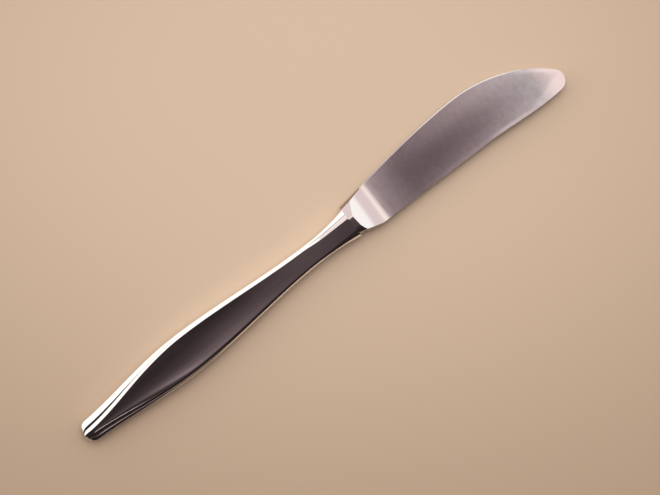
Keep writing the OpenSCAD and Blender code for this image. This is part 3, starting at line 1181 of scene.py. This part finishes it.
def silver_finish(f):
    """Polished silver with faint waves and polish marks along the handle"""
    material, shader = new_material("polished_silver")
    marks = stretched_noise(material, scale=900, stretch_by=(0.06, 1, 1), detail=3)
    waves = stretched_noise(material, scale=330, stretch_by=(0.05, 1, 1), detail=1)
    clouds = stretched_noise(material, scale=160, stretch_by=(0.5, 1, 1), detail=4)
    dull = spread(material, clouds, 0, 1, from_low=0.45, from_high=0.8)
    link(material, mixed(material, dull, f.silver, f.silver_worn), shader.inputs["Base Color"])
    gloss = spread(material, marks, f.silver_gloss * 0.75, f.silver_gloss * 1.3)
    link(material, gloss, shader.inputs["Roughness"])
    fill(shader, Metallic=1)
    bumped(material, shader, waves, strength=1, distance=0.03 * MM)
    return material


def steel_finish(f, b):
    """Steel that is satin along the blade and polished at the bolster and the tip, with painted sheen towards
    the nose, a painted highlight on the ground strip and painted shade on steep flanks
    """
    material, shader = new_material("satin_steel")
    grain = stretched_noise(material, scale=2800, stretch_by=(1, 0.6, 1), detail=2)
    clouds = stretched_noise(material, scale=480, stretch_by=(1, 0.6, 1), detail=3)
    place = node(material, "ShaderNodeTexCoord")
    axes = node(material, "ShaderNodeSeparateXYZ")
    facing_axes = node(material, "ShaderNodeSeparateXYZ")
    link(material, place.outputs["Object"], axes.inputs["Vector"])
    link(material, place.outputs["Normal"], facing_axes.inputs["Vector"])
    join = MOUTH_X + b.scoop_end
    satin = spread(material, axes.outputs["X"], 0, 1, join - SATIN_BLEND, join + SATIN_BLEND)
    # Painted sheen: the satin steel turns lighter towards the nose
    nose_sheen = spread(material, axes.outputs["X"], 0, 1, MOUTH_X + b.edge_belly, BLADE_HIGH.x)
    toned = mixed(material, nose_sheen, f.steel, f.steel_nose_sheen)
    clouded = mixed(material, spread(material, clouds, 0, 0.35), toned, f.raw_steel_and_flank_shade)
    mottled = mixed(material, spread(material, grain, 0.3, 0), clouded, f.raw_steel_and_flank_shade)
    tip = spread(material, axes.outputs["X"], 1, 0, MOUTH_X + b.facet_start, BLADE_HIGH.x - b.nose_radius)
    rough = node(material, "ShaderNodeMath", operation="MINIMUM")
    link(material, satin, rough.inputs[0])
    link(material, tip, rough.inputs[1])
    polished = mixed(material, satin, f.polished_steel_and_ground_highlight, mixed(material, tip, f.steel_tip, mottled))
    upright = node(material, "ShaderNodeMath", operation="ABSOLUTE")
    link(material, facing_axes.outputs["Z"], upright.inputs[0])
    # Painted highlight: the ground strip is really ground, but its lighter colour stands in for the bright
    # line that it mirrors
    ground = spread(material, upright.outputs["Value"], 1, 0, *GROUND_HIGHLIGHT_FACING)
    # Painted shade: faces that stand steeply take the darker raw steel
    flat = spread(material, upright.outputs["Value"], 0, 1, *FLANK_SHADE_FACING)
    with_ground_highlight = mixed(material, ground, polished, f.polished_steel_and_ground_highlight)
    link(material, mixed(material, flat, f.raw_steel_and_flank_shade, with_ground_highlight), shader.inputs["Base Color"])
    satin_gloss = spread(material, grain, f.satin_gloss * 0.92, f.satin_gloss * 1.08)
    gloss = node(material, "ShaderNodeMix", data_type="FLOAT")
    link(material, rough.outputs["Value"], gloss.inputs["Factor"])
    fill(gloss, A=f.polish_gloss)
    link(material, satin_gloss, gloss.inputs["B"])
    link(material, gloss.outputs["Result"], shader.inputs["Roughness"])
    fill(shader, Metallic=1)
    bumped(material, shader, grain, strength=0.05, distance=0.02 * MM)
    return material


def grainy_finish(name, tone, shade, grain, gloss, relief, metallic):
    """A plain finish whose fine grain darkens it, dulls it and stands out a little"""
    material, shader = new_material(name)
    height = stretched_noise(material, **grain)
    shaded = [channel * shade for channel in tone]
    link(material, mixed(material, height, shaded, tone), shader.inputs["Base Color"])
    link(material, spread(material, height, *gloss), shader.inputs["Roughness"])
    fill(shader, Metallic=metallic)
    bumped(material, shader, height, **relief)
    return material


def solder_finish(f):
    """Solder, softly shining"""
    grain = {"scale": 2400, "stretch_by": (0.3, 1, 1), "detail": 3}
    relief = {"strength": 0.1, "distance": 0.02 * MM}
    return grainy_finish("seam_solder", f.solder, 0.8, grain, (0.2, 0.38), relief, metallic=1)


def cement_finish(f):
    """Hard cast filler, matt and grainy"""
    grain = {"scale": 1500, "stretch_by": (1, 1, 1), "detail": 5}
    relief = {"strength": 0.4, "distance": 0.1 * MM}
    return grainy_finish("handle_cement", f.cement, 0.6, grain, (0.75, 0.95), relief, metallic=0)


def paper_finish(stage):
    """Plain coloured paper with a faint tooth, and painted shade that darkens it a little away from the light
    """
    material, shader = new_material("floor_paper")
    tooth = stretched_noise(material, scale=700, stretch_by=(1, 1, 1), detail=4)
    place = node(material, "ShaderNodeTexCoord")
    from_light = node(material, "ShaderNodeMapping", vector_type="TEXTURE")
    fill(from_light, Location=(*PAPER_LIGHT, 0), Rotation=(0, 0, -stage.knife_turn))
    fill(from_light, Scale=(PAPER_STRETCH, 1, 1))
    distance = node(material, "ShaderNodeVectorMath", operation="LENGTH")
    shade = node(material, "ShaderNodeMapRange", interpolation_type="SMOOTHSTEP")
    fill(shade, From_Min=PAPER_SHADE[0], From_Max=PAPER_SHADE[1])
    link(material, place.outputs["Object"], from_light.inputs["Vector"])
    link(material, from_light.outputs["Vector"], distance.inputs[0])
    link(material, distance.outputs["Value"], shade.inputs["Value"])
    tone = mixed(material, shade.outputs["Result"], stage.paper, stage.paper_shade)
    link(material, tone, shader.inputs["Base Color"])
    fill(shader, Roughness=0.9, Specular_IOR_Level=0.2)
    bumped(material, shader, tooth, strength=0.06, distance=0.1 * MM)
    return material


# Stage

def lay_floor(stage):
    """A wide sheet of paper under the knife"""
    clear_selection()
    bpy.ops.mesh.primitive_plane_add(size=FLOOR_SIZE)
    floor = bpy.context.object
    floor.name = "floor"
    floor.data.materials.append(paper_finish(stage))


def picture_axes(stage):
    """Directions of the picture's right and top, lying in the floor"""
    turn = stage.knife_turn
    return Vector((cos(turn), -sin(turn), 0)), Vector((sin(turn), cos(turn), 0))


def set_sky(stage):
    """A soft sky, bright at the picture's top and dark at its foot, with a white card at the side"""
    world = bpy.data.worlds.new("studio")
    bpy.context.scene.world = world
    world.use_nodes = True
    direction = node(world, "ShaderNodeTexCoord").outputs["Generated"]
    right, top = picture_axes(stage)

    def lean_to(axis):
        lean = node(world, "ShaderNodeVectorMath", operation="DOT_PRODUCT")
        lean.inputs[1].default_value = axis
        link(world, direction, lean.inputs[0])
        return lean.outputs["Value"]

    card = spread(world, lean_to(CARD_SIDE[0] * right + CARD_SIDE[1] * top), -1, 1, *CARD_LEANS)
    lightest = node(world, "ShaderNodeMath", operation="MAXIMUM")
    link(world, lean_to(top), lightest.inputs[0])
    link(world, card, lightest.inputs[1])
    ramp = node(world, "ShaderNodeValToRGB")
    elements = ramp.color_ramp.elements
    while len(elements) < len(SKY_STEPS):
        elements.new(0.5)
    for element, (place, tone) in zip(elements, SKY_STEPS):
        element.position = (place + 1) / 2
        element.color = (*tone, 1)
    link(world, spread(world, lightest.outputs["Value"], 0, 1, -1, 1), ramp.inputs["Fac"])
    background = world.node_tree.nodes["Background"]
    fill(background, Strength=stage.sky)
    link(world, ramp.outputs["Color"], background.inputs["Color"])


def set_up(name, data, backwards, upwards, place):
    """A lamp or camera at a place, looking away from one direction with another upwards"""
    back = backwards.normalized()
    right = upwards.cross(back).normalized()
    turn = Matrix((right, back.cross(right), back)).transposed().to_4x4()
    thing = bpy.data.objects.new(name, data)
    bpy.context.scene.collection.objects.link(thing)
    thing.matrix_world = Matrix.Translation(place) @ turn
    return thing


def hang_lamp(stage):
    """A large soft lamp overhead that lightens the paper and isn't mirrored in the metal"""
    top = picture_axes(stage)[1]
    aim = Vector((stage.aim_x, stage.aim_y, 0))
    towards_lamp = (top * LAMP_LEAN + Vector((0, 0, 1))).normalized()
    data = bpy.data.lights.new("soft_lamp", "AREA")
    data.shape = "SQUARE"
    data.size = LAMP_SIZE
    data.energy = stage.lamp
    lamp = set_up("soft_lamp", data, towards_lamp, top, aim + towards_lamp * LAMP_DISTANCE)
    lamp.visible_glossy = False


def aim_camera(stage):
    """A camera nearly overhead, leaning towards the cutting edge"""
    top = picture_axes(stage)[1]
    aim = Vector((stage.aim_x, stage.aim_y, SEAM_Z))
    away = Vector((tan(stage.lean_to_tip), tan(stage.lean_to_edge), 1)).normalized()
    distance = stage.view_width * stage.lens / SENSOR_WIDTH
    data = bpy.data.cameras.new("camera")
    data.sensor_width = SENSOR_WIDTH
    data.lens = stage.lens
    data.clip_start = 0.01
    data.clip_end = 50
    bpy.context.scene.camera = set_up("camera", data, away, top, aim + away * distance)
    bpy.context.scene.view_settings.view_transform = "Standard"


# Operators

class KNIFE_OT_handle(bpy.types.Operator):
    """Models the front and back shells of the silver handle, and the solder along their seam"""

    bl_idname = "knife.handle"
    bl_label = "Handle shells and solder"

    def execute(self, context):
        h = context.scene.knife_handle
        f = context.scene.knife_finishes
        silver = silver_finish(f)
        front = handle_cage(h)
        back = edit(copy_of(front))
        pick_all()
        stretch((1, 1, -1), (0, 0, SEAM_Z))
        close()
        for shell, upwards in ((front, 1), (back, -1)):
            turn_out(shell, upwards)
            thicken_shell(shell, h)
        solder = solder_ring(front)
        finish_piece(front, "front_shell_silver", silver, "front_shell")
        finish_piece(back, "back_shell_silver", silver, "back_shell")
        finish_piece(solder, "solder_line", solder_finish(f), "seam_solder")
        return {"FINISHED"}


class KNIFE_OT_blade(bpy.types.Operator):
    """Models the forged blade with its bolster and tang"""

    bl_idname = "knife.blade"
    bl_label = "Blade"

    def execute(self, context):
        b = context.scene.knife_blade
        steel = steel_finish(context.scene.knife_finishes, b)
        body = forged_blade(b)
        smooth(body, BLADE_SHARP)
        finish_piece(body, "blade_steel", steel, "blade")
        return {"FINISHED"}


class KNIFE_OT_cement(bpy.types.Operator):
    """Models the cement round the tang inside the handle"""

    bl_idname = "knife.cement"
    bl_label = "Cement"

    def execute(self, context):
        cement = cement_finish(context.scene.knife_finishes)
        core = cement_bar(context.scene.knife_handle)
        cut(core, tang(context.scene.knife_blade), "DIFFERENCE")
        finish_piece(core, "cement_filling", cement, "cement_core")
        return {"FINISHED"}


class KNIFE_OT_stage(bpy.types.Operator):
    """Lays the paper floor and sets the soft light and the camera"""

    bl_idname = "knife.stage"
    bl_label = "Stage"

    def execute(self, context):
        stage = context.scene.knife_stage
        lay_floor(stage)
        set_sky(stage)
        hang_lamp(stage)
        aim_camera(stage)
        return {"FINISHED"}


class KNIFE_PT_sidebar(bpy.types.Panel):
    """Lists the knife's operators"""

    bl_idname = "KNIFE_PT_sidebar"
    bl_label = "Dessert knife"
    bl_space_type = "VIEW_3D"
    bl_region_type = "UI"
    bl_category = "Knife"

    def draw(self, context):
        for operator in OPERATORS:
            self.layout.operator(operator.bl_idname)


OPERATORS = (KNIFE_OT_handle, KNIFE_OT_blade, KNIFE_OT_cement, KNIFE_OT_stage)
GROUPS = {
    "knife_handle": HandleSizes,
    "knife_blade": BladeSizes,
    "knife_finishes": Finishes,
    "knife_stage": StageSizes,
}
CLASSES = (*GROUPS.values(), *OPERATORS, KNIFE_PT_sidebar)


def register():
    for kind in CLASSES:
        bpy.utils.register_class(kind)
    for name, group in GROUPS.items():
        setattr(bpy.types.Scene, name, PointerProperty(type=group))


def unregister():
    for name in GROUPS:
        delattr(bpy.types.Scene, name)
    for kind in reversed(CLASSES):
        bpy.utils.unregister_class(kind)


def main():
    register()
    bpy.ops.knife.handle()
    bpy.ops.knife.blade()
    bpy.ops.knife.cement()
    bpy.ops.knife.stage()


if __name__ == "__main__":
    main()
